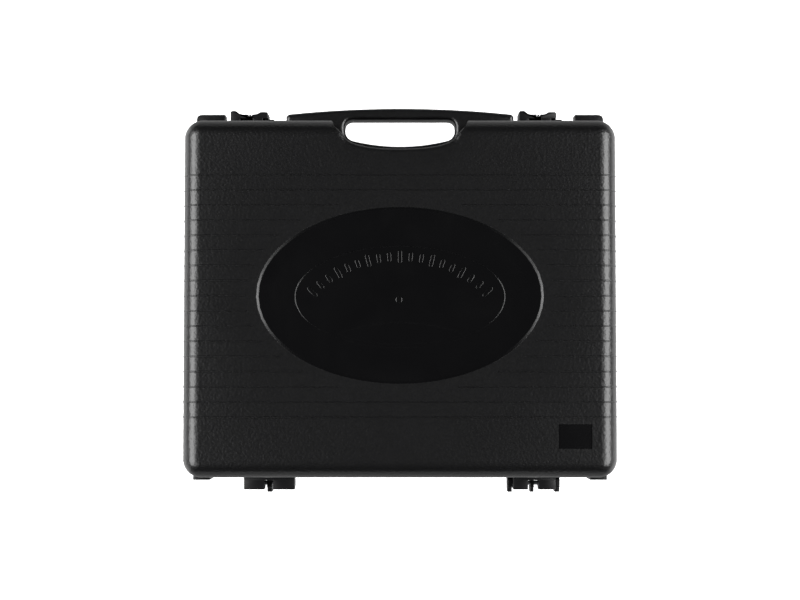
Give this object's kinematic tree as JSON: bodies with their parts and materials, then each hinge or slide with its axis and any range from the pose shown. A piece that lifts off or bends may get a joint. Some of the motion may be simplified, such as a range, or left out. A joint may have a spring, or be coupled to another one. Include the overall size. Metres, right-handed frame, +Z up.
{
  "type": "portable gas stove in carry case",
  "caption": "Portable single-burner gas stove packed in a black moulded carry case with hinged lid, sliding latches and an integral handle.",
  "frame": {"origin": "middle of the closed case's footprint, on the ground under the tray", "axes": "+X along the case's width, to the right of someone facing the lid with the handle up; +Y towards the handle; +Z up, out of the lid's face"},
  "size_m": [0.377, 0.34, 0.1089],
  "materials": {
    "case_plastic": "pebbled black polyethylene, glossy in the oval",
    "latch_plastic": "smooth black moulded plastic",
    "plated_steel": "zinc-plated sheet steel",
    "painted_steel": "satin dark grey paint",
    "enamel": "glossy black vitreous enamel",
    "cast_aluminium": "die-cast, matt",
    "brass": "machined",
    "rubber": "matt",
    "ceramic": "glazed",
    "red_cable": "silicone insulation"
  },
  "bodies": {
    "tray": {"tray_shell": "case_plastic", "hinge_left_tray_leaf": "latch_plastic", "hinge_left_pin": "plated_steel", "hinge_right_tray_leaf": "latch_plastic", "hinge_right_pin": "plated_steel", "stove_base": "painted_steel", "top_plate": "enamel", "pan_support": "enamel", "partition": "plated_steel", "valve_cowl": "painted_steel", "cover_hinge_rod": "plated_steel", "rubber_foot_1": "rubber", "rubber_foot_2": "rubber", "rubber_foot_3": "rubber", "rubber_foot_4": "rubber", "plate_screw_1": "plated_steel", "plate_screw_2": "plated_steel", "plate_screw_3": "plated_steel", "plate_screw_4": "plated_steel", "burner_bracket": "plated_steel", "burner_head": "cast_aluminium", "burner_cap": "brass", "mixing_tube": "plated_steel", "burner_screw_1": "plated_steel", "burner_screw_2": "plated_steel", "gas_regulator": "cast_aluminium", "cartridge_collar": "brass", "cartridge_cradle": "plated_steel", "piezo_igniter": "latch_plastic", "ignition_electrode": "ceramic", "ignition_lead": "red_cable"},
    "lid": {"lid_shell": "case_plastic", "hinge_left_lid_leaf": "latch_plastic", "hinge_right_lid_leaf": "latch_plastic"},
    "latch_left": {"latch_left": "latch_plastic"},
    "latch_right": {"latch_right": "latch_plastic"},
    "cover": {"cartridge_cover": "painted_steel"},
    "knob": {"control_knob": "latch_plastic", "knob_shaft": "plated_steel"},
    "lever": {"cartridge_lever": "latch_plastic"}
  },
  "joints": [
    {"name": "lid_hinge", "type": "hinge", "parent": "tray", "child": "lid", "pos_m": [0, -0.1618, 0.05815], "axis": [1, 0, 0], "range_deg": [0, 135]},
    {"name": "latch_left_slide", "type": "slide", "parent": "tray", "child": "latch_left", "axis": [1, 0, 0], "range_m": [0, 0.011]},
    {"name": "latch_right_slide", "type": "slide", "parent": "tray", "child": "latch_right", "axis": [1, 0, 0], "range_m": [0, 0.011]},
    {"name": "cover_hinge", "type": "hinge", "parent": "tray", "child": "cover", "pos_m": [-0.1642, -0.0413, 0.0669], "axis": [0, -1, 0], "range_deg": [0, 100]},
    {"name": "knob_turn", "type": "hinge", "parent": "tray", "child": "knob", "pos_m": [-0.117, 0.1215, 0.0413], "axis": [0, 1, 0], "range_deg": [0, 110]},
    {"name": "lever_slide", "type": "slide", "parent": "tray", "child": "lever", "axis": [0, 0, -1], "range_m": [0, 0.014]}
  ],
  "couplings": [
    {"joint": "cover_hinge", "follows": "lid_hinge", "ratio": 0.73}
  ]
}
